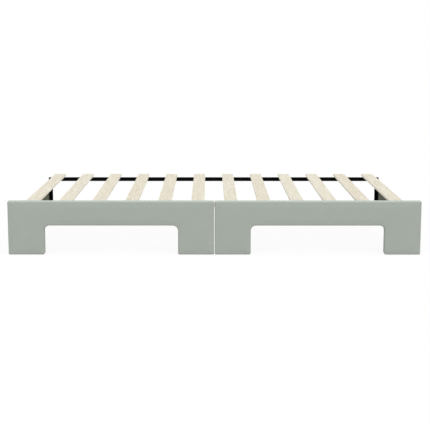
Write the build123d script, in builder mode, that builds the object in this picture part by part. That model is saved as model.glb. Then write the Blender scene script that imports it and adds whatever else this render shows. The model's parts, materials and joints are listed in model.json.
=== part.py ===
"""A low trundle bed: two upholstered front panels, a slatted steel frame and eight fixed castors."""

import os
from math import isclose

from build123d import *

os.makedirs("parts", exist_ok=True)

# Overall size in millimetres. X runs along the bed, +Y to its back and +Z up from the floor.
total_length = 1980
total_depth = 920
panel_top = 264

# Upholstered front panels
panel_gap = 3
panel_bottom = 4
panel_thickness = 30
cover_thickness = 1.5
foam_thickness = 9
hem_width = 15
cutout_width = 642
cutout_height = 142
corner_radius = 5
cutout_radius = 25
foot_radius = 10
front_edge_radius = 6
least_radius = 1

# Slats
slat_count = 12
slat_pitch = 160
slat_width = 63
slat_thickness = 12
slat_edge_radius = 2
slat_drop = 5.5
slat_gap = 5
slat_overhang = 57

# Square steel tube of the rails and legs
tube_size = 20
tube_wall = 1.5
tube_radius = 2
frame_length = 1876
rail_joint_gap = 0.4
sleeve_length = 120
sleeve_play = 0.2
cap_thickness = 3
cap_depth = 9
cap_radius = 1

# Side boards
side_thickness = 21
side_height = 120
side_bottom = 85
side_radius = 3

# Wooden blocks behind the panel feet
block_width = 60
block_radius = 3

# Castors
wheel_radius = 25
wheel_width = 20
wheel_edge_radius = 2.5
rim_radius = 20
hub_radius = 9
web_thickness = 8
rib_count = 6
rib_thickness = 2
rib_width = 18
castor_height = 66
castor_plate_length = 50
castor_plate_width = 40
castor_plate_thickness = 2.5
castor_plate_radius = 4
fork_gap = 22
fork_wall = 2
fork_foot_radius = 9
fork_bend_radius = 2.5
axle_radius = 3
axle_play = 0.05
axle_head_radius = 5
axle_head_height = 2
foot_plate_thickness = 3
weld_radius = 1.5

# Fasteners: shank radius and length, head radius and height, and the play round a shank
slat_screw_size = (2, 25, 4)
block_screw_size = (2.5, 60, 5)
pan_screw_size = (2, 16, 4, 2.4)
frame_bolt_size = (3, 35, 7, 2.5)
frame_nut_size = (3, 5.5, 5)
castor_screw_size = (2, 12, 3.5, 2)
hole_play = 0.2
slat_screw_sink = 0.2
hole_overrun = 1
head_rim_share = 1 / 3
head_top_share = 0.6
rail_bolt_shift = 12
side_bolt_spacing = 60
block_screw_spacing = 96
castor_hole_spacing = 38

# Places that follow from the sizes above
front = -total_depth / 2
back = total_depth / 2
panel_back = front + panel_thickness
board_back = panel_back - cover_thickness
foam_front = front + cover_thickness
board_front = foam_front + foam_thickness
panel_width = (total_length - panel_gap) / 2
panel_center_x = (total_length + panel_gap) / 4

slat_top = panel_top - slat_drop
slat_front = panel_back + slat_gap
slat_places = [(number - (slat_count - 1) / 2) * slat_pitch for number in range(slat_count)]
middle_x = slat_pitch / 2

rail_top = slat_top - slat_thickness
rail_bottom = rail_top - tube_size
rail_z = rail_top - tube_size / 2
front_rail_y = slat_front + slat_overhang
back_rail_y = back - slat_overhang
frame_end = frame_length / 2
plug_size = tube_size - 2 * tube_wall - sleeve_play
plug_radius = tube_radius - tube_wall / 2

side_outer = frame_end + side_thickness
side_back = back_rail_y + tube_size / 2
side_z = side_bottom + side_height / 2
side_bolt_heights = (side_z - side_bolt_spacing / 2, side_z + side_bolt_spacing / 2)

block_back = front_rail_y + tube_size / 2
block_y = (board_back + block_back) / 2
block_screw_heights = (side_z - block_screw_spacing / 2, side_z + block_screw_spacing / 2)

outer_block_x = frame_end - block_width / 2
outer_leg_x = frame_end - tube_size / 2
foot_plate_top = castor_height + foot_plate_thickness
block_places = {
    "left": -outer_block_x,
    "mid_left": -middle_x,
    "mid_right": middle_x,
    "right": outer_block_x,
}
leg_places = {
    "left": -outer_leg_x,
    "mid_left": -middle_x,
    "mid_right": middle_x,
    "right": outer_leg_x,
}
fork_top = castor_height - castor_plate_thickness
fork_half = fork_gap / 2 + fork_wall
castor_places = {f"front_{name}": (x, block_y) for name, x in block_places.items()}
castor_places.update({f"back_{name}": (x, back_rail_y) for name, x in leg_places.items()})
sides = {"left": -1, "right": 1}


def save(piece, name):
    """Label a finished piece and write it to its own file."""
    piece.label = name
    export_step(piece, f"parts/{name}.step")


def facing(x, y, z, direction):
    """A plane at a fastener's seat. Its Z axis points out of the fastener's head."""
    across = (0, 1, 0) if direction[0] else (1, 0, 0)
    return Plane((x, y, z), x_dir=across, z_dir=direction)


def front_plane(x, y):
    """An upright plane at depth y that faces the front, with its own Y axis up from the floor."""
    return Plane((x, y, 0), x_dir=(1, 0, 0), z_dir=(0, -1, 0))


def end_plane(x):
    """An upright plane across the bed at x. Its own X axis is the bed's Y, and its Y axis is up."""
    return Plane((x, 0, 0), x_dir=(0, 1, 0), z_dir=(1, 0, 0))


# Where each fastener sits
slat_screw_seats = [
    facing(x, y, slat_top - slat_screw_sink, (0, 0, 1))
    for x in slat_places
    for y in (front_rail_y, back_rail_y)
]
block_screw_seats = [
    facing(x, board_front, z, (0, -1, 0)) for x in block_places.values() for z in block_screw_heights
]
sleeve_screw_seats = [
    facing(side * sleeve_length / 4, y + tube_size / 2, rail_z, (0, 1, 0))
    for side in sides.values()
    for y in (front_rail_y, back_rail_y)
]
rail_bolt_seats = [
    facing(x + rail_bolt_shift * (1 if x > 0 else -1), block_back, rail_z, (0, 1, 0))
    for x in block_places.values()
]
side_bolt_seats = [
    facing(side * side_outer, y, z, (side, 0, 0))
    for side in sides.values()
    for y in (block_y, back_rail_y)
    for z in side_bolt_heights
]
castor_screw_seats = [
    facing(x + side * castor_hole_spacing / 2, y, fork_top, (0, 0, -1))
    for x, y in castor_places.values()
    for side in sides.values()
]


def countersunk_screw(radius, length, head_radius):
    """A countersunk screw that points along -Z, with its flat head at Z = 0."""
    with BuildPart() as screw:
        with BuildSketch(Plane.XZ):
            with BuildLine():
                Polyline(
                    (0, 0),
                    (head_radius, 0),
                    (radius, radius - head_radius),
                    (radius, 2 * radius - length),
                    (0, -length),
                    close=True,
                )
            make_face()
        revolve(axis=Axis.Z)
    return screw.part


def headed_screw(radius, length, head_radius, head_height):
    """A screw that points along -Z, with a low bevelled head on Z = 0."""
    with BuildPart() as screw:
        with BuildSketch(Plane.XZ):
            with BuildLine():
                Polyline(
                    (0, -length),
                    (radius, -length),
                    (radius, 0),
                    (head_radius, 0),
                    (head_radius, head_height * head_rim_share),
                    (head_radius * head_top_share, head_height),
                    (0, head_height),
                    close=True,
                )
            make_face()
        revolve(axis=Axis.Z)
    return screw.part


def shank_hole(size):
    """The radius of the hole that a fastener's shank passes."""
    return size[0] + hole_play


def panel_outline(inset):
    """The closed outline of a front panel round its cut-out, drawn inside its edge by inset."""
    half = panel_width / 2 - inset
    opening = cutout_width / 2 + inset
    low = panel_bottom + inset
    arch = panel_bottom + cutout_height + inset
    high = panel_top - inset
    corner = max(corner_radius - inset, least_radius)
    foot = max(foot_radius - inset, least_radius)
    inner = cutout_radius + inset
    FilletPolyline(
        (-half, low),
        (-half, high),
        (half, high),
        (half, low),
        (opening, low),
        (opening, arch),
        (-opening, arch),
        (-opening, low),
        radius=[corner, corner, corner, corner, foot, inner, inner, foot],
        close=True,
    )


def padded_block(x, rear, depth, inset, edge_radius):
    """A solid of the panel's outline that reaches forward from rear, with round front edges."""
    with BuildPart() as block:
        with BuildSketch(front_plane(x, rear)):
            with BuildLine():
                panel_outline(inset)
            make_face()
        extrude(amount=depth)
        fillet(block.faces().sort_by(Axis.Y)[0].edges(), edge_radius)
    return block.part


# Front panels: a board, a sheet of foam on its front and a velvet cover that is turned in at the back
filling_radius = front_edge_radius - cover_thickness
for name, side in sides.items():
    center = side * panel_center_x
    filling_depth = board_back - foam_front
    filling = padded_block(center, board_back, filling_depth, cover_thickness, filling_radius)

    with BuildPart() as panel_board:
        with BuildSketch(front_plane(center, board_back)):
            with BuildLine():
                panel_outline(cover_thickness)
            make_face()
        extrude(amount=board_back - board_front)
        with Locations([seat for seat in block_screw_seats if seat.origin.X * side > 0]):
            CounterSinkHole(shank_hole(block_screw_size), block_screw_size[2] + hole_play)
    save(panel_board.part, f"panel_board_{name}")

    foam = padded_block(center, board_front, foam_thickness, cover_thickness, filling_radius)
    save(foam, f"panel_foam_{name}")

    with BuildPart() as panel_cover:
        add(padded_block(center, panel_back, panel_thickness, 0, front_edge_radius))
        add(filling, mode=Mode.SUBTRACT)
        with BuildSketch(front_plane(center, panel_back)):
            with BuildLine():
                panel_outline(cover_thickness + hem_width)
            make_face()
        extrude(amount=2 * cover_thickness, mode=Mode.SUBTRACT)
    save(panel_cover.part, f"panel_cover_{name}")

# Wooden blocks behind the panel feet, with a rebate for the front rail
for name, x in block_places.items():
    with BuildPart() as panel_block:
        with BuildSketch(end_plane(x - block_width / 2)):
            with BuildLine():
                Polyline(
                    (board_back, castor_height),
                    (block_back, castor_height),
                    (block_back, rail_bottom),
                    (block_back - tube_size, rail_bottom),
                    (block_back - tube_size, rail_top),
                    (board_back, rail_top),
                    close=True,
                )
            make_face()
        extrude(amount=block_width)
        rear_edges = panel_block.edges().filter_by(Axis.Z).group_by(Axis.Y)[-1]
        fillet(rear_edges, block_radius)
        with Locations(block_screw_seats):
            Hole(shank_hole(block_screw_size), depth=block_screw_size[1] + hole_overrun)
        with Locations(rail_bolt_seats):
            Hole(shank_hole(frame_bolt_size), depth=frame_bolt_size[1] + hole_overrun)
        with Locations(side_bolt_seats):
            Hole(shank_hole(frame_bolt_size), depth=frame_bolt_size[1] + hole_overrun)
        with Locations(castor_screw_seats):
            Hole(shank_hole(castor_screw_size), depth=castor_screw_size[1] + hole_overrun)
    save(panel_block.part, f"panel_block_{name}")


def square_tube(size, wall, radius):
    """The section of a square tube, round at its outer and inner corners."""
    RectangleRounded(size, size, radius)
    RectangleRounded(size - 2 * wall, size - 2 * wall, radius - wall, mode=Mode.SUBTRACT)


# Rails, in halves that meet at the middle of the bed
rail_length = frame_end - cap_thickness - rail_joint_gap / 2
for row, y in {"front": front_rail_y, "back": back_rail_y}.items():
    for name, side in sides.items():
        start = rail_joint_gap / 2 if side > 0 else -rail_joint_gap / 2 - rail_length
        with BuildPart() as rail:
            with BuildSketch(end_plane(start)):
                with Locations((y, rail_z)):
                    square_tube(tube_size, tube_wall, tube_radius)
            extrude(amount=rail_length)
            with Locations(slat_screw_seats):
                Hole(shank_hole(slat_screw_size), depth=slat_screw_size[1])
            with Locations(sleeve_screw_seats):
                Hole(shank_hole(pan_screw_size), depth=2 * tube_wall)
            with Locations(rail_bolt_seats):
                Hole(shank_hole(frame_bolt_size), depth=frame_bolt_size[1])
        save(rail.part, f"{row}_rail_{name}")

rail_centers = [(front_rail_y, rail_z), (back_rail_y, rail_z)]
with BuildPart() as rail_sleeves:
    with BuildSketch(end_plane(-sleeve_length / 2)):
        with Locations(rail_centers):
            RectangleRounded(plug_size, plug_size, plug_radius)
            Rectangle(plug_size - 2 * tube_wall, plug_size - 2 * tube_wall, mode=Mode.SUBTRACT)
    extrude(amount=sleeve_length)
    with Locations(sleeve_screw_seats):
        Hole(shank_hole(pan_screw_size), depth=tube_size / 2)
save(rail_sleeves.part, "rail_sleeves")

with BuildPart() as tube_end_caps:
    for side in sides.values():
        with BuildSketch(end_plane(side * (frame_end - cap_thickness))):
            with Locations(rail_centers):
                RectangleRounded(tube_size, tube_size, tube_radius)
        extrude(amount=side * cap_thickness)
        with BuildSketch(end_plane(side * (frame_end - cap_thickness))):
            with Locations(rail_centers):
                RectangleRounded(plug_size, plug_size, plug_radius)
        extrude(amount=-side * cap_depth)
    outer_faces = tube_end_caps.faces().filter_by(Axis.X).group_by(Axis.X)
    fillet(outer_faces[0].edges() + outer_faces[-1].edges(), cap_radius)
save(tube_end_caps.part, "tube_end_caps")

# Back legs, each a tube welded to a foot plate
for name, x in leg_places.items():
    with BuildPart() as back_leg:
        with BuildSketch(Plane((x, back_rail_y, castor_height))):
            RectangleRounded(castor_plate_length, castor_plate_width, castor_plate_radius)
        extrude(amount=foot_plate_thickness)
        with BuildSketch(Plane((x, back_rail_y, foot_plate_top))):
            square_tube(tube_size, tube_wall, tube_radius)
        extrude(amount=rail_bottom - foot_plate_top)
        plate_faces = back_leg.faces().filter_by_position(Axis.Z, foot_plate_top, foot_plate_top)
        weld_line = plate_faces.sort_by(SortBy.AREA)[-1].inner_wires()[0]
        fillet(weld_line.edges(), weld_radius)
        with Locations(castor_screw_seats):
            Hole(shank_hole(castor_screw_size), depth=castor_screw_size[1])
        with Locations(side_bolt_seats):
            Hole(shank_hole(frame_bolt_size), depth=frame_bolt_size[1])
    save(back_leg.part, f"back_leg_{name}")

# Side boards with their velvet covers, open at the end that meets the front panel
for name, side in sides.items():
    center_x = side * (frame_end + side_thickness / 2)
    with BuildPart() as side_board:
        with BuildSketch(front_plane(center_x, panel_back)):
            with Locations((0, side_z)):
                RectangleRounded(
                    side_thickness - 2 * cover_thickness,
                    side_height - 2 * cover_thickness,
                    side_radius - cover_thickness,
                )
        extrude(amount=panel_back - side_back + cover_thickness)
        with Locations(side_bolt_seats):
            Hole(shank_hole(frame_bolt_size), depth=frame_bolt_size[1])
    save(side_board.part, f"side_board_{name}")

    with BuildPart() as side_cover:
        with BuildSketch(front_plane(center_x, panel_back)):
            with Locations((0, side_z)):
                RectangleRounded(side_thickness, side_height, side_radius)
        extrude(amount=panel_back - side_back)
        with BuildSketch(front_plane(center_x, panel_back)):
            with Locations((0, side_z)):
                RectangleRounded(
                    side_thickness - 2 * cover_thickness,
                    side_height - 2 * cover_thickness,
                    side_radius - cover_thickness,
                )
        extrude(amount=panel_back - side_back + cover_thickness, mode=Mode.SUBTRACT)
        with Locations(side_bolt_seats):
            Hole(shank_hole(frame_bolt_size), depth=frame_bolt_size[1])
    save(side_cover.part, f"side_cover_{name}")

# Slats
for number, x in enumerate(slat_places, start=1):
    with BuildPart() as slat:
        with BuildSketch(front_plane(x, back)):
            with Locations((0, slat_top - slat_thickness / 2)):
                RectangleRounded(slat_width, slat_thickness, slat_edge_radius)
        extrude(amount=back - slat_front)
        with Locations([seat for seat in slat_screw_seats if seat.origin.X == x]):
            CounterSinkHole(
                shank_hole(slat_screw_size),
                slat_screw_size[2] + hole_play,
                depth=2 * slat_thickness,
            )
    save(slat.part, f"slat_{number:02d}")

# Castors: a fork with its plate, a wheel and a rivet axle
for name, (x, y) in castor_places.items():
    with BuildPart() as castor_fork:
        with BuildSketch(Plane((x, y, castor_height))):
            RectangleRounded(castor_plate_length, castor_plate_width, castor_plate_radius)
        extrude(amount=-castor_plate_thickness)
        with Locations(castor_screw_seats):
            Hole(shank_hole(castor_screw_size), depth=2 * castor_plate_thickness)
        for side in sides.values():
            with BuildSketch(end_plane(x + side * fork_gap / 2)):
                with Locations((y, wheel_radius)):
                    Circle(fork_foot_radius)
                with Locations((y, castor_height - 2 * castor_plate_thickness)):
                    Rectangle(castor_plate_width - 2 * castor_plate_radius, 2 * castor_plate_thickness)
                make_hull()
            extrude(amount=side * fork_wall)
        plate_edges = castor_fork.edges().filter_by_position(Axis.Z, fork_top, fork_top).filter_by(Axis.Y)
        fork_edges = [edge for edge in plate_edges if isclose(abs(edge.center().X - x), fork_half)]
        fillet(fork_edges, fork_bend_radius)
        with Locations(facing(x, y, wheel_radius, (1, 0, 0))):
            Hole(axle_radius + axle_play, depth=castor_plate_length)
    save(castor_fork.part, f"castor_fork_{name}")

    with BuildPart() as castor_wheel:
        with BuildSketch(Plane((x, y, wheel_radius), x_dir=(1, 0, 0), z_dir=(0, -1, 0))) as half:
            with Locations((0, wheel_radius / 2)):
                Rectangle(wheel_width, wheel_radius)
            fillet(half.vertices().group_by(Axis.Y)[-1], wheel_edge_radius)
            with Locations((-wheel_width / 2, 0), (wheel_width / 2, 0)):
                with Locations((0, (hub_radius + rim_radius) / 2)):
                    Rectangle(wheel_width - web_thickness, rim_radius - hub_radius, mode=Mode.SUBTRACT)
            Rectangle(wheel_width, 2 * (axle_radius + axle_play), mode=Mode.SUBTRACT)
        revolve(axis=Axis((x, y, wheel_radius), (1, 0, 0)))
        with BuildSketch(Plane((x - rib_width / 2, y, wheel_radius), x_dir=(0, 1, 0), z_dir=(1, 0, 0))):
            with PolarLocations((hub_radius + rim_radius) / 2, rib_count):
                Rectangle(rim_radius - hub_radius + rib_thickness, rib_thickness)
        extrude(amount=rib_width)
    save(castor_wheel.part, f"castor_wheel_{name}")

with BuildPart() as castor_axle:
    with BuildSketch(Plane.XY):
        with Locations((0, axle_radius / 2)):
            Rectangle(2 * fork_half, axle_radius)
        for side in sides.values():
            with Locations((side * (fork_half + axle_head_height / 2), axle_head_radius / 2)):
                Rectangle(axle_head_height, axle_head_radius)
    revolve(axis=Axis.X)

with BuildPart() as castor_axles:
    with Locations([(x, y, wheel_radius) for x, y in castor_places.values()]):
        add(castor_axle.part)
save(castor_axles.part, "castor_axles")

# Fasteners, each kind as one group
with BuildPart() as frame_nut:
    with BuildSketch():
        RegularPolygon(frame_nut_size[1], 6)
        Circle(shank_hole(frame_nut_size), mode=Mode.SUBTRACT)
    extrude(amount=frame_nut_size[2])

fasteners = {
    "slat_screws": (countersunk_screw(*slat_screw_size), slat_screw_seats),
    "block_screws": (countersunk_screw(*block_screw_size), block_screw_seats),
    "pan_screws": (headed_screw(*pan_screw_size), sleeve_screw_seats),
    "frame_bolts": (headed_screw(*frame_bolt_size), rail_bolt_seats + side_bolt_seats),
    "castor_screws": (headed_screw(*castor_screw_size), castor_screw_seats),
    # The nuts are welded inside the legs, to the walls that the side boards lie against.
    "frame_nuts": (
        frame_nut.part,
        [
            facing(side * (frame_end - tube_wall), back_rail_y, z, (-side, 0, 0))
            for side in sides.values()
            for z in side_bolt_heights
        ],
    ),
}
for name, (fastener, seats) in fasteners.items():
    with BuildPart() as group:
        with Locations(seats):
            add(fastener)
    save(group.part, name)
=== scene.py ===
"""Dresses a packed trundle bed: velvet panels, birch slats, black tubes, pine blocks, castors."""

import json
import math
import random

import bmesh
import bpy
from mathutils import Matrix, Vector, kdtree, noise


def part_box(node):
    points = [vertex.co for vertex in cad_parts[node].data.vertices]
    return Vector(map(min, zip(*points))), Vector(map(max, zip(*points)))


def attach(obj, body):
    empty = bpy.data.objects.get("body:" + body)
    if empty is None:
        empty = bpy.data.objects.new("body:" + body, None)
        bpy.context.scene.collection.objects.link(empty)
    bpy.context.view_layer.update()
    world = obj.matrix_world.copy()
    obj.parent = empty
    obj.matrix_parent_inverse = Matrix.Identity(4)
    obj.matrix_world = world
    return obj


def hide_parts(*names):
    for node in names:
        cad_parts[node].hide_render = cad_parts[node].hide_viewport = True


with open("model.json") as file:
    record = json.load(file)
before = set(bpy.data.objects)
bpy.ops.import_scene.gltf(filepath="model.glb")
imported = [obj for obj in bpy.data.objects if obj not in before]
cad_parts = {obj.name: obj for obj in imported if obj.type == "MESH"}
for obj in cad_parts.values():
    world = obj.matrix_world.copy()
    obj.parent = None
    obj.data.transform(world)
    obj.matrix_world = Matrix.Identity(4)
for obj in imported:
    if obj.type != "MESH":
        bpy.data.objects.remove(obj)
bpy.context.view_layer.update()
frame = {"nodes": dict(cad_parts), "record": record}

MM = 0.001
nodes = frame["nodes"]
sides = {"left": -1, "right": 1}
merge_distance = 0.001 * MM

# Front panels
cutout_width = 642 * MM
cutout_height = 142 * MM
corner_radius = 4 * MM
cutout_radius = 25 * MM
foot_radius = 8 * MM
front_edge_radius = 3 * MM
board_edge = 3 * MM
panel_crown = 1.2 * MM
hem_middle = 9 * MM

# Side boards, and the depth of the shade painted on their inner faces, which starts behind the
# panels
side_edge_radius = 4 * MM
side_crown = 1.5 * MM
painted_shade_depth = 1.5 * MM
panel_clearance = 0.5 * MM

# Slats
ply_count = 6

# Padded pieces
fine_net = 3 * MM
coarse_net = 6 * MM
rim_depth = 1 * MM
swell_frames = 20
swell_pressure = 4
unevenness = 0.15 * MM
unevenness_size = 70 * MM

# Foam pad round the front rails where they meet
pad_length = 44 * MM
pad_thickness = 3 * MM
pad_corner = 2 * MM
pad_edge = 1 * MM

# Steps round a bevel, and the angles in degrees above which an edge stays sharp
corner_steps = 6
edge_steps = 4
pad_steps = 3
hem_crease = 40
metal_crease = 30
foam_crease = 50

# Staples along the hems, and recesses in the fasteners' heads
staple_size = Vector((10, 1.2, 0.8)) * MM
staple_spacing = 42 * MM
staple_turn = math.radians(8)
cross_width = 1.1 * MM
cross_depth = 1.6 * MM
cross_reach = 0.55
hex_radius = 2.9 * MM
hex_depth = 2.0 * MM

# Studio: the floor's half width in metres, and the share of plain white that it shows
floor_reach = 30
floor_white = 0.92
room_light = 0.75
lamp_energy = {"right": 1.6, "left": 1.05}
lamp_spread = math.radians(50)
lamp_tilt = math.radians(55)
lamp_turn = math.radians(55)

# Camera: the photograph's frame is 430 pixels wide and high
frame_pixels = 430
focal_pixels = 926.3
sensor_width = 36
camera_place = Vector((-23.1, -4810.7, 1054.1)) * MM
camera_pitch = math.radians(7.939)
camera_yaw = math.radians(0.073)
camera_shift = (0.0153, -0.12)


def linear(colour):
    """An sRGB hex colour as linear red, green, blue and alpha."""
    channels = [int(colour[start:start + 2], 16) / 255 for start in (1, 3, 5)]
    tones = [c / 12.92 if c <= 0.04045 else ((c + 0.055) / 1.055) ** 2.4 for c in channels]
    return tones + [1.0]


def add(tree, kind, inputs=None, **settings):
    """Adds a node with its settings. An input is a value or another node's output to link."""
    node = tree.nodes.new("ShaderNode" + kind)
    for name, value in settings.items():
        setattr(node, name, value)
    for name, value in (inputs or {}).items():
        if isinstance(value, bpy.types.NodeSocket):
            tree.links.new(value, node.inputs[name])
        else:
            node.inputs[name].default_value = value
    return node


def start_material(name, **constants):
    """A new material's tree, its shader with constant inputs, and the place on the bed."""
    material = bpy.data.materials.new(name)
    material.use_nodes = True
    tree = material.node_tree
    shader = tree.nodes["Principled BSDF"]
    for socket, value in constants.items():
        shader.inputs[socket.replace("_", " ")].default_value = value
    place = add(tree, "TexCoord").outputs["Object"]
    return material, tree, shader, place


def calculate(tree, operation, first, second=0.0):
    """The result of an operation on one or two values."""
    return add(tree, "Math", {0: first, 1: second}, operation=operation).outputs[0]


def mix(tree, share, first, second, blend="MIX"):
    """Two colours, mixed by the share of the second."""
    inputs = {"Fac": share, "Color1": first, "Color2": second}
    return add(tree, "MixRGB", inputs, blend_type=blend).outputs["Color"]


def clouds(tree, place, size, **sockets):
    """A noise pattern with patches of a real size."""
    inputs = {"Vector": place, "Scale": 1 / size, **sockets}
    return add(tree, "TexNoise", inputs).outputs["Fac"]


def cells(tree, place, size):
    """A pattern of cells of a real size, from each cell's middle to its walls."""
    return add(tree, "TexVoronoi", {"Vector": place, "Scale": 1 / size}).outputs["Distance"]


def stretched(tree, place, sizes):
    """Coordinates on which a pattern of size one has a real size along each axis."""
    scale = [1 / size for size in sizes]
    return add(tree, "Mapping", {"Vector": place, "Scale": scale}).outputs["Vector"]


def two_tones(tree, height, low, high, start=0.3, end=0.7):
    """A ramp from one colour to another over the middle of a pattern's range."""
    ramp = add(tree, "ValToRGB", {"Fac": height})
    for element, position, colour in zip(ramp.color_ramp.elements, (start, end), (low, high)):
        element.position = position
        element.color = linear(colour)
    return ramp.outputs["Color"]


def paint(tree, shader, colour):
    """Gives a shader its colour."""
    tree.links.new(colour, shader.inputs["Base Color"])


def polish(tree, shader, height, low, high):
    """Lets the roughness follow a pattern."""
    rough = add(tree, "MapRange", {"Value": height, "To Min": low, "To Max": high})
    tree.links.new(rough.outputs["Result"], shader.inputs["Roughness"])


def emboss(tree, shader, height, strength, depth):
    """Lets a bump follow a pattern."""
    bump = add(tree, "Bump", {"Height": height, "Strength": strength, "Distance": depth})
    tree.links.new(bump.outputs["Normal"], shader.inputs["Normal"])


def painted_shade_faces(tree, place):
    """One where shade is painted on the side boards' inner faces, and zero elsewhere."""
    _, panel_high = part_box("panel_cover_right")
    side_low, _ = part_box("side_cover_right")
    axes = add(tree, "SeparateXYZ", {"Vector": place})
    from_middle = calculate(tree, "ABSOLUTE", axes.outputs["X"])
    inside = calculate(tree, "LESS_THAN", from_middle, side_low.x + painted_shade_depth)
    behind = calculate(tree, "GREATER_THAN", axes.outputs["Y"], panel_high.y + panel_clearance)
    return calculate(tree, "MULTIPLY", inside, behind)


def velvet():
    """Short-pile polyester velvet, laid by brushing: no gloss, cloudy where the pile leans, a pale
    rim, and painted shade on the side boards' inner faces.
    """
    material, tree, shader, place = start_material(
        "short_pile_velvet",
        Roughness=0.95,
        Specular_IOR_Level=0.1,
        Sheen_Roughness=0.3,
        Sheen_Tint=linear("#F2F6F1"),
    )
    lean = clouds(tree, place, 45 * MM, Detail=3, Roughness=0.6)
    tone = two_tones(tree, lean, "#AEB5AC", "#B0B7AE")
    # The pile is finer than the picture can show, so its tufts are drawn 2 mm apart.
    tufts = clouds(tree, place, 2 * MM, Detail=2)
    shade = two_tones(tree, tufts, "#EAEAEA", "#FFFFFF")
    pile = mix(tree, 1, tone, shade, "MULTIPLY")
    # Shade is painted on the side boards' inner faces behind the panels: their colour is darkened
    # there.
    inner = painted_shade_faces(tree, place)
    painted_shade_tone = mix(tree, inner, linear("#FFFFFF"), linear("#B8B6AA"))
    paint(tree, shader, mix(tree, 1, pile, painted_shade_tone, "MULTIPLY"))
    # Where the shade is painted the sheen is left off too, which darkens those faces further.
    rim = add(tree, "MapRange", {"Value": inner, "To Min": 0.8, "To Max": 0.0})
    tree.links.new(rim.outputs["Result"], shader.inputs["Sheen Weight"])
    emboss(tree, shader, tufts, 0.25, 0.4 * MM)
    return material


def birch():
    """Laminated birch, bare after sanding: cream, faint long grain, glue lines along the cut edges,
    and painted light that makes the sawn edges paler.
    """
    material, tree, shader, place = start_material(
        "laminated_birch", Roughness=0.62, Specular_IOR_Level=0.3
    )
    slat_low, slat_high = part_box("slat_01")
    neighbour_low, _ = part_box("slat_02")
    pitch = neighbour_low.x - slat_low.x
    half = (slat_high.z - slat_low.z) / 2
    ply = 2 * half / ply_count
    along = stretched(tree, place, (6 * MM, 220 * MM, 6 * MM))
    grain = clouds(tree, along, 1, Detail=5, Roughness=0.65, Distortion=0.6)
    tone = two_tones(tree, grain, "#CFC9B9", "#E1DDD0")
    flecked = stretched(tree, place, (3 * MM, 36 * MM, 1 * MM))
    flecks = clouds(tree, flecked, 1, Detail=2)
    fleck_tone = two_tones(tree, flecks, "#DFD9CB", "#FFFFFF", 0.34, 0.52)
    grained = mix(tree, 0.85, tone, fleck_tone, "MULTIPLY")
    # Each slat is cut from another board, so its tone differs a little from its neighbours'.
    axes = add(tree, "SeparateXYZ", {"Vector": place})
    count = calculate(tree, "MULTIPLY", axes.outputs["X"], 1 / pitch)
    number = calculate(tree, "FLOOR", count)
    draw = add(tree, "TexWhiteNoise", {"W": number}, noise_dimensions="1D")
    board_tone = two_tones(tree, draw.outputs["Value"], "#FCFAF7", "#FFFFFF", 0.0, 1.0)
    boards = mix(tree, 1, grained, board_tone, "MULTIPLY")
    # Light is painted on the sawn edges between the smooth top and bottom faces: they are drawn
    # paler, as if lit as brightly as the tops.
    height = calculate(tree, "SUBTRACT", axes.outputs["Z"], slat_low.z)
    depth = calculate(tree, "ABSOLUTE", calculate(tree, "SUBTRACT", height, half))
    without_edge_light = add(
        tree,
        "MapRange",
        {"Value": depth, "From Min": half - 1.5 * MM, "From Max": half - 0.2 * MM},
    )
    # The pale colour here is the painted light on the sawn edges.
    cut = mix(tree, without_edge_light.outputs["Result"], linear("#EEE9DD"), boards)
    layer = calculate(tree, "COSINE", calculate(tree, "MULTIPLY", height, 2 * math.pi / ply))
    line = add(tree, "MapRange", {"Value": layer, "From Min": -1, "From Max": -0.7})
    glue = two_tones(tree, line.outputs["Result"], "#E8DECB", "#FFFFFF", 0.0, 1.0)
    paint(tree, shader, mix(tree, 1, cut, glue, "MULTIPLY"))
    emboss(tree, shader, grain, 0.15, 0.2 * MM)
    return material


def powder_coat():
    """Black powder coat, baked on steel tube: deep matt black with a faint orange peel."""
    material, tree, shader, place = start_material("black_powder_coat", Specular_IOR_Level=0.03)
    wear = clouds(tree, place, 60 * MM, Detail=4)
    paint(tree, shader, two_tones(tree, wear, "#0B0B0C", "#101011"))
    polish(tree, shader, wear, 0.9, 1.0)
    peel = clouds(tree, place, 1.6 * MM, Detail=1)
    emboss(tree, shader, peel, 0.2, 0.1 * MM)
    return material


def zinc_plate():
    """Bright zinc plate on pressed steel: cool grey metal, clouded by crystals and handling."""
    material, tree, shader, place = start_material("bright_zinc_plate", Metallic=1.0)
    crystals = cells(tree, place, 3 * MM)
    paint(tree, shader, two_tones(tree, crystals, "#C3C6C9", "#A9ADB1"))
    handling = clouds(tree, place, 12 * MM, Detail=4)
    polish(tree, shader, handling, 0.25, 0.5)
    emboss(tree, shader, handling, 0.1, 0.1 * MM)
    return material


def black_oxide():
    """Black oxide on steel bolts: oiled, dark and half glossy, rubbed brighter in small spots."""
    material, tree, shader, place = start_material("black_oxide_steel", Metallic=1.0)
    rub = clouds(tree, place, 2 * MM, Detail=4)
    paint(tree, shader, two_tones(tree, rub, "#222224", "#4A4B4E", 0.45, 0.75))
    polish(tree, shader, rub, 0.5, 0.32)
    return material


def polyurethane_foam():
    """Open-cell polyurethane foam, sliced: pale cream and dull, pitted by fine cells."""
    material, tree, shader, place = start_material(
        "polyurethane_foam", Roughness=0.95, Specular_IOR_Level=0.1
    )
    pits = cells(tree, place, 1.2 * MM)
    paint(tree, shader, two_tones(tree, pits, "#EFEBDD", "#F8F5EA"))
    emboss(tree, shader, pits, 0.4, 0.3 * MM)
    return material


def fibreboard():
    """Medium density fibreboard, pressed and sawn: even tan, speckled with fibres, quite matt."""
    material, tree, shader, place = start_material("medium_density_fibreboard", Roughness=0.88)
    fibres = clouds(tree, place, 1.5 * MM, Detail=5, Roughness=0.75)
    paint(tree, shader, two_tones(tree, fibres, "#9C8361", "#BDA47F"))
    emboss(tree, shader, fibres, 0.2, 0.2 * MM)
    return material


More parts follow.
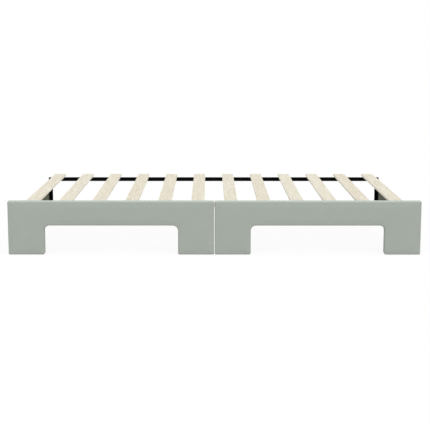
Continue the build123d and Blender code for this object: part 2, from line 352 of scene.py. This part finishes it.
def pine():
    """Planed pine, bare: yellow cream with darker growth rings that run up the block."""
    material, tree, shader, place = start_material(
        "planed_pine", Roughness=0.6, Specular_IOR_Level=0.35
    )
    upright = stretched(tree, place, (14 * MM, 14 * MM, 300 * MM))
    sway = add(tree, "TexNoise", {"Vector": upright, "Scale": 0.6, "Detail": 3}).outputs["Fac"]
    ring = calculate(tree, "SINE", calculate(tree, "MULTIPLY", sway, 60))
    paint(tree, shader, two_tones(tree, ring, "#DCC59A", "#C9A873", 0.2, 0.95))
    emboss(tree, shader, ring, 0.1, 0.1 * MM)
    return material


def moulded_nylon():
    """Black nylon, moulded: satin, with a fine eroded grain and grey scuffs from the floor."""
    material, tree, shader, place = start_material("black_moulded_nylon", Specular_IOR_Level=0.35)
    scuffs = clouds(tree, place, 5 * MM, Detail=6, Roughness=0.7)
    paint(tree, shader, two_tones(tree, scuffs, "#161617", "#2E2D2C", 0.5, 0.8))
    polish(tree, shader, scuffs, 0.4, 0.7)
    grain = clouds(tree, place, 0.8 * MM, Detail=1)
    emboss(tree, shader, grain, 0.15, 0.1 * MM)
    return material


def moulded_polyethylene():
    """Black polyethylene plugs, moulded: waxy and dull, with a fine even grain."""
    material, tree, shader, place = start_material("black_polyethylene", Specular_IOR_Level=0.05)
    grain = clouds(tree, place, 0.9 * MM, Detail=2)
    paint(tree, shader, two_tones(tree, grain, "#0D0D0E", "#141415"))
    polish(tree, shader, grain, 0.7, 0.85)
    emboss(tree, shader, grain, 0.15, 0.1 * MM)
    return material


finishes = {
    "velvet": velvet(),
    "foam": polyurethane_foam(),
    "board": fibreboard(),
    "block_wood": pine(),
    "slat_wood": birch(),
    "black_steel": powder_coat(),
    "black_bolt": black_oxide(),
    "zinc_steel": zinc_plate(),
    "cap_plastic": moulded_polyethylene(),
    "wheel_plastic": moulded_nylon(),
}
node_slots = {part["node"]: part["material_slot"] for part in frame["record"]["subparts"]}
for name, node in nodes.items():
    node.data.materials.clear()
    node.data.materials.append(finishes[node_slots[name]])


def new_piece(name, shape, slot):
    """Turns a bmesh into an object on the bed's frame with its slot's finish."""
    mesh = bpy.data.meshes.new(name)
    shape.to_mesh(mesh)
    shape.free()
    mesh.materials.append(finishes[slot])
    piece = bpy.data.objects.new(name, mesh)
    bpy.context.scene.collection.objects.link(piece)
    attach(piece, "bed_frame")
    return piece


def apply_modifiers(piece):
    """Makes what the modifiers give now the piece's own mesh, and takes them off."""
    graph = bpy.context.evaluated_depsgraph_get()
    mesh = bpy.data.meshes.new_from_object(piece.evaluated_get(graph))
    piece.modifiers.clear()
    old = piece.data
    piece.data = mesh
    bpy.data.meshes.remove(old)


def shade_smooth(piece, sharp_angle=None):
    """Smooth shading, kept sharp at edges that turn more than an angle."""
    for polygon in piece.data.polygons:
        polygon.use_smooth = True
    if sharp_angle is not None:
        piece.data.set_sharp_from_angle(angle=math.radians(sharp_angle))


def lay_net(piece, spacing):
    """Remakes a closed shell as an even net of cloth."""
    remesh = piece.modifiers.new("net", "REMESH")
    remesh.mode = "VOXEL"
    remesh.voxel_size = spacing
    apply_modifiers(piece)


def swell(piece, outward, crown):
    """Each point of a coarse net, and how far foam lifts it under a tight cover."""
    trial = bpy.data.objects.new("trial", piece.data.copy())
    bpy.context.scene.collection.objects.link(trial)
    lay_net(trial, coarse_net)
    rest = [vertex.co.copy() for vertex in trial.data.vertices]
    face = max(place.dot(outward) for place in rest)
    behind = [i for i, place in enumerate(rest) if place.dot(outward) < face - rim_depth]
    held = trial.vertex_groups.new(name="held")
    held.add(behind, 1.0, "REPLACE")
    cloth = trial.modifiers.new("swell", "CLOTH")
    cloth.settings.use_pressure = True
    cloth.settings.uniform_pressure_force = swell_pressure
    cloth.settings.vertex_group_mass = held.name
    cloth.settings.effector_weights.gravity = 0
    scene = bpy.context.scene
    for number in range(1, swell_frames + 1):
        scene.frame_set(number)
    apply_modifiers(trial)
    scene.frame_set(1)
    rises = []
    for vertex, start in zip(trial.data.vertices, rest):
        rise = max((vertex.co - start).dot(outward), 0)
        rises.append((start, crown * math.tanh(rise / crown)))
    swollen = trial.data
    bpy.data.objects.remove(trial)
    bpy.data.meshes.remove(swollen)
    return rises


def lift(piece, outward, rises):
    """Moves each point of a fine net outward by the mean rise of the coarse net round it."""
    near = kdtree.KDTree(len(rises))
    for number, (place, _) in enumerate(rises):
        near.insert(place, number)
    near.balance()
    for vertex in piece.data.vertices:
        total = 0
        weights = 0
        for _, number, distance in near.find_range(vertex.co, 2 * coarse_net):
            weight = math.exp(-((distance / coarse_net) ** 2))
            total += weight * rises[number][1]
            weights += weight
        vertex.co += outward * total / weights


def roughen(piece, outward):
    """Leaves the soft unevenness of foam and cloth on the face that looks outward."""
    facings = [max(vertex.normal.dot(outward), 0) for vertex in piece.data.vertices]
    for vertex, facing in zip(piece.data.vertices, facings):
        wave = noise.noise(vertex.co / unevenness_size)
        vertex.co += outward * unevenness * facing * wave


def upholster(piece, outward, crown):
    """Gives a plain shell a fine net of cloth, and swells its outer face."""
    rises = swell(piece, outward, crown)
    lay_net(piece, fine_net)
    if rises:
        lift(piece, outward, rises)
    roughen(piece, outward)
    shade_smooth(piece)


def bevel(shape, geometry, radius, steps, affect="EDGES"):
    """Rounds edges, or the corners of a flat outline."""
    bmesh.ops.bevel(
        shape,
        geom=geometry,
        offset=radius,
        segments=steps,
        profile=0.5,
        affect=affect,
        material=-1,
    )


def only(kind, made):
    """The points or edges among what a tool made."""
    return [item for item in made if isinstance(item, kind)]


def panel_shell(side):
    """A front panel's outline with its cut-out, from its padded face back to the hem."""
    low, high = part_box(f"panel_cover_{side}")
    middle = (low.x + high.x) / 2
    front = low.y + panel_crown
    opening = cutout_width / 2
    arch = low.z + cutout_height
    outline = [
        (low.x, low.z, corner_radius),
        (low.x, high.z, corner_radius),
        (high.x, high.z, corner_radius),
        (high.x, low.z, corner_radius),
        (middle + opening, low.z, foot_radius),
        (middle + opening, arch, cutout_radius),
        (middle - opening, arch, cutout_radius),
        (middle - opening, low.z, foot_radius),
    ]
    shape = bmesh.new()
    corners = [shape.verts.new((x, front, z)) for x, z, _ in outline]
    shape.faces.new(corners)
    for corner, (_, _, radius) in zip(corners, outline):
        bevel(shape, [corner], radius, corner_steps, "VERTICES")
    face = shape.faces[:][0]
    rear = high.y - board_edge
    made = bmesh.ops.extrude_face_region(shape, geom=[face], use_keep_orig=True)
    moved = only(bmesh.types.BMVert, made["geom"])
    bmesh.ops.translate(shape, verts=moved, vec=(0, rear - front, 0))
    bmesh.ops.recalc_face_normals(shape, faces=shape.faces)
    front_edges = [
        edge
        for edge in shape.edges
        if all(abs(vert.co.y - front) < merge_distance for vert in edge.verts)
    ]
    bevel(shape, front_edges, front_edge_radius, edge_steps)
    return shape


def side_shell(side):
    """A side board's covered outline, before its outer face swells."""
    low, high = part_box(f"side_cover_{side}")
    shape = bmesh.new()
    place = Matrix.Translation((low + high) / 2) @ Matrix.Diagonal((*(high - low), 1))
    bmesh.ops.create_cube(shape, size=1, matrix=place)
    bevel(shape, shape.edges, side_edge_radius, edge_steps)
    return shape


def hem(side):
    """The part of the panel's cover that is turned in over the back of its board."""
    _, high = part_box(f"panel_cover_{side}")
    shape = bmesh.new()
    shape.from_mesh(nodes[f"panel_cover_{side}"].data)
    bmesh.ops.remove_doubles(shape, verts=shape.verts, dist=merge_distance)
    everything = shape.verts[:] + shape.edges[:] + shape.faces[:]
    cut = bmesh.ops.bisect_plane(
        shape,
        geom=everything,
        dist=merge_distance,
        plane_co=(0, high.y - board_edge, 0),
        plane_no=(0, 1, 0),
        clear_inner=True,
    )
    rim = only(bmesh.types.BMEdge, cut["geom_cut"])
    bmesh.ops.edgenet_fill(shape, edges=rim)
    return shape


def hem_runs(side):
    """The straight stretches along the middle of a hem, each as two points."""
    low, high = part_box(f"panel_cover_{side}")
    middle = (low.x + high.x) / 2
    left, right = low.x + hem_middle, high.x - hem_middle
    bottom, top = low.z + hem_middle, high.z - hem_middle
    arch = low.z + cutout_height + hem_middle
    inner_left = middle - cutout_width / 2 - hem_middle
    inner_right = middle + cutout_width / 2 + hem_middle
    stops = [
        (left, bottom),
        (left, top),
        (right, top),
        (right, bottom),
        (inner_right, bottom),
        (inner_right, arch),
        (inner_left, arch),
        (inner_left, bottom),
    ]
    points = [Vector((x, high.y, z)) for x, z in stops]
    return list(zip(points, points[1:] + points[:1]))


def staples(side):
    """Wire staples in a row along the hem, each a little out of line."""
    chance = random.Random(side)
    shape = bmesh.new()
    for start, end in hem_runs(side):
        run = end - start
        count = max(round(run.length / staple_spacing), 1)
        heading = math.atan2(run.z, run.x)
        for number in range(count):
            place = start + run * (number + 0.5) / count
            turn = Matrix.Rotation(-heading + chance.uniform(-staple_turn, staple_turn), 4, "Y")
            size = Matrix.Diagonal((staple_size.x, staple_size.z, staple_size.y, 1))
            matrix = Matrix.Translation(place) @ turn @ size
            bar = bmesh.ops.create_cube(shape, size=1, matrix=matrix)
            edges = {edge for vert in bar["verts"] for edge in vert.link_edges}
            bevel(shape, list(edges), staple_size.z / 3, 1)
    return shape


for side, sign in sides.items():
    panel = new_piece(f"panel_upholstery_{side}", panel_shell(side), "velvet")
    upholster(panel, Vector((0, -1, 0)), panel_crown)
    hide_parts(f"panel_cover_{side}", f"panel_foam_{side}")
    turned_hem = new_piece(f"panel_hem_{side}", hem(side), "velvet")
    shade_smooth(turned_hem, hem_crease)
    staple_row = new_piece(f"panel_staples_{side}", staples(side), "zinc_steel")
    shade_smooth(staple_row, metal_crease)
    cover = new_piece(f"side_upholstery_{side}", side_shell(side), "velvet")
    upholster(cover, Vector((sign, 0, 0)), side_crown)
    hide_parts(f"side_cover_{side}")


def rail_pad():
    """A tube round the front rails' joint, to be thickened: it shows pale in the panels' gap."""
    low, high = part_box("front_rail_left")
    outline = ((low.y, low.z), (low.y, high.z), (high.y, high.z), (high.y, low.z))
    shape = bmesh.new()
    corners = [shape.verts.new((-pad_length / 2, y, z)) for y, z in outline]
    shape.faces.new(corners)
    bevel(shape, corners, pad_corner, corner_steps, "VERTICES")
    end = shape.faces[:]
    drawn = bmesh.ops.extrude_edge_only(shape, edges=shape.edges[:])
    moved = only(bmesh.types.BMVert, drawn["geom"])
    bmesh.ops.translate(shape, verts=moved, vec=(pad_length, 0, 0))
    bmesh.ops.delete(shape, geom=end, context="FACES_ONLY")
    bmesh.ops.recalc_face_normals(shape, faces=shape.faces)
    return shape


pad = new_piece("front_rail_pad", rail_pad(), "foam")
foam = pad.modifiers.new("foam", "SOLIDIFY")
foam.thickness = pad_thickness
foam.offset = 1
softened = pad.modifiers.new("softened", "BEVEL")
softened.width = pad_edge
softened.segments = pad_steps
shade_smooth(pad, foam_crease)


def separate_solids(shape):
    """The points of each solid in a bmesh that holds several."""
    solids = []
    seen = set()
    for first in shape.verts:
        if first in seen:
            continue
        seen.add(first)
        reached = [first]
        for vert in reached:
            for edge in vert.link_edges:
                other = edge.other_vert(vert)
                if other not in seen:
                    seen.add(other)
                    reached.append(other)
        solids.append([vert.co.copy() for vert in reached])
    return solids


def head_place(points):
    """A frame on top of a fastener's head, with Z out of the head, and the head's radius."""
    low = Vector([min(point[axis] for point in points) for axis in range(3)])
    high = Vector([max(point[axis] for point in points) for axis in range(3)])
    long_axis = max(range(3), key=lambda axis: high[axis] - low[axis])
    middle = (low + high) / 2
    direction = Vector((0, 0, 0))
    direction[long_axis] = 1.0

    def reach(point):
        offset = point - middle
        return (offset - direction * offset.dot(direction)).length

    widest = max(points, key=reach)
    if (widest - middle).dot(direction) < 0:
        direction.negate()
    top = middle + direction * (high - low)[long_axis] / 2
    turn = direction.to_track_quat("Z", "Y").to_matrix().to_4x4()
    return Matrix.Translation(top) @ turn, reach(widest)


def cross_recess(cutter, place, radius):
    """A tool's cross slot, cut into a head: a square core with an arm drawn out of each side."""
    core = Matrix.Diagonal((cross_width, cross_width, cross_depth * 2, 1))
    made = bmesh.ops.create_cube(cutter, size=1, matrix=place @ core)
    out = place.to_3x3() @ Vector((0, 0, 1))
    faces = {face for vert in made["verts"] for face in vert.link_faces}
    arms = [face for face in faces if abs(face.normal.dot(out)) < 0.5]
    drawn = bmesh.ops.extrude_discrete_faces(cutter, faces=arms)
    for face in drawn["faces"]:
        reach = face.normal * (radius * cross_reach - cross_width / 2)
        bmesh.ops.translate(cutter, verts=face.verts, vec=reach)


def hex_recess(cutter, place, _):
    """A hexagon key's socket, cut into a head."""
    bmesh.ops.create_cone(
        cutter,
        cap_ends=True,
        segments=6,
        radius1=hex_radius,
        radius2=hex_radius,
        depth=hex_depth * 2,
        matrix=place,
    )


def recessed_fasteners(node, recess):
    """A group of fasteners with a recess for the tool in each head."""
    shape = bmesh.new()
    shape.from_mesh(nodes[node].data)
    bmesh.ops.remove_doubles(shape, verts=shape.verts, dist=merge_distance)
    solids = separate_solids(shape)
    piece = new_piece(f"{node}_with_recess", shape, node_slots[node])
    cutter = bmesh.new()
    for points in solids:
        recess(cutter, *head_place(points))
    bmesh.ops.recalc_face_normals(cutter, faces=cutter.faces)
    mesh = bpy.data.meshes.new("recess")
    cutter.to_mesh(mesh)
    cutter.free()
    tool = bpy.data.objects.new("recess", mesh)
    bpy.context.scene.collection.objects.link(tool)
    cut = piece.modifiers.new("recess", "BOOLEAN")
    cut.operation = "DIFFERENCE"
    cut.solver = "EXACT"
    cut.object = tool
    apply_modifiers(piece)
    bpy.data.objects.remove(tool)
    shade_smooth(piece, metal_crease)
    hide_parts(node)


for node in ("slat_screws", "pan_screws", "castor_screws"):
    recessed_fasteners(node, cross_recess)
recessed_fasteners("frame_bolts", hex_recess)


def seen_rays(tree):
    """One for rays that the camera sees, straight or in a reflection, and zero for light."""
    rays = add(tree, "LightPath").outputs
    straight = calculate(tree, "MAXIMUM", rays["Is Camera Ray"], rays["Is Glossy Ray"])
    return calculate(tree, "MAXIMUM", straight, rays["Is Transmission Ray"])


def studio_floor():
    """A plain pale floor that shows white and keeps a faint shadow."""
    shape = bmesh.new()
    bmesh.ops.create_grid(shape, x_segments=1, y_segments=1, size=floor_reach)
    mesh = bpy.data.meshes.new("floor")
    shape.to_mesh(mesh)
    shape.free()
    floor = bpy.data.objects.new("floor", mesh)
    bpy.context.scene.collection.objects.link(floor)
    material = bpy.data.materials.new("white_studio_floor")
    material.use_nodes = True
    tree = material.node_tree
    tree.nodes.clear()
    seen = seen_rays(tree)
    tone = mix(tree, seen, linear("#969696"), linear("#F2F2F2"))
    matt = add(tree, "BsdfDiffuse", {"Color": tone})
    white = add(tree, "Emission", {"Color": linear("#FFFFFF"), "Strength": 1.0})
    share = calculate(tree, "MULTIPLY", seen, floor_white)
    mixed = add(tree, "MixShader", {0: share, 1: matt.outputs[0], 2: white.outputs[0]})
    add(tree, "OutputMaterial", {"Surface": mixed.outputs[0]})
    mesh.materials.append(material)


def studio_light():
    """A white room that lights softly from all round, and two broad lamps in front."""
    world = bpy.data.worlds.new("white_room")
    world.use_nodes = True
    tree = world.node_tree
    tree.nodes.clear()
    light = add(tree, "Background", {"Color": linear("#FFFFFF"), "Strength": room_light})
    shown = add(tree, "Background", {"Color": linear("#FFFFFF"), "Strength": 1.0})
    mixed = add(tree, "MixShader", {0: seen_rays(tree), 1: light.outputs[0], 2: shown.outputs[0]})
    add(tree, "OutputWorld", {"Surface": mixed.outputs[0]})
    bpy.context.scene.world = world
    for side, energy in lamp_energy.items():
        lamp = bpy.data.lights.new(f"{side}_lamp", "SUN")
        lamp.energy = energy
        lamp.angle = lamp_spread
        sun = bpy.data.objects.new(f"{side}_lamp", lamp)
        sun.rotation_euler = (lamp_tilt, 0, sides[side] * lamp_turn)
        bpy.context.scene.collection.objects.link(sun)


def photo_camera():
    """A camera where the photograph was taken from."""
    data = bpy.data.cameras.new("camera")
    data.sensor_width = sensor_width
    data.lens = focal_pixels / frame_pixels * sensor_width
    data.shift_x, data.shift_y = camera_shift
    camera = bpy.data.objects.new("camera", data)
    camera.location = camera_place
    camera.rotation_euler = (math.pi / 2 - camera_pitch, 0, camera_yaw)
    bpy.context.scene.collection.objects.link(camera)
    bpy.context.scene.camera = camera


studio_floor()
studio_light()
photo_camera()
bpy.context.scene.view_settings.view_transform = "Standard"
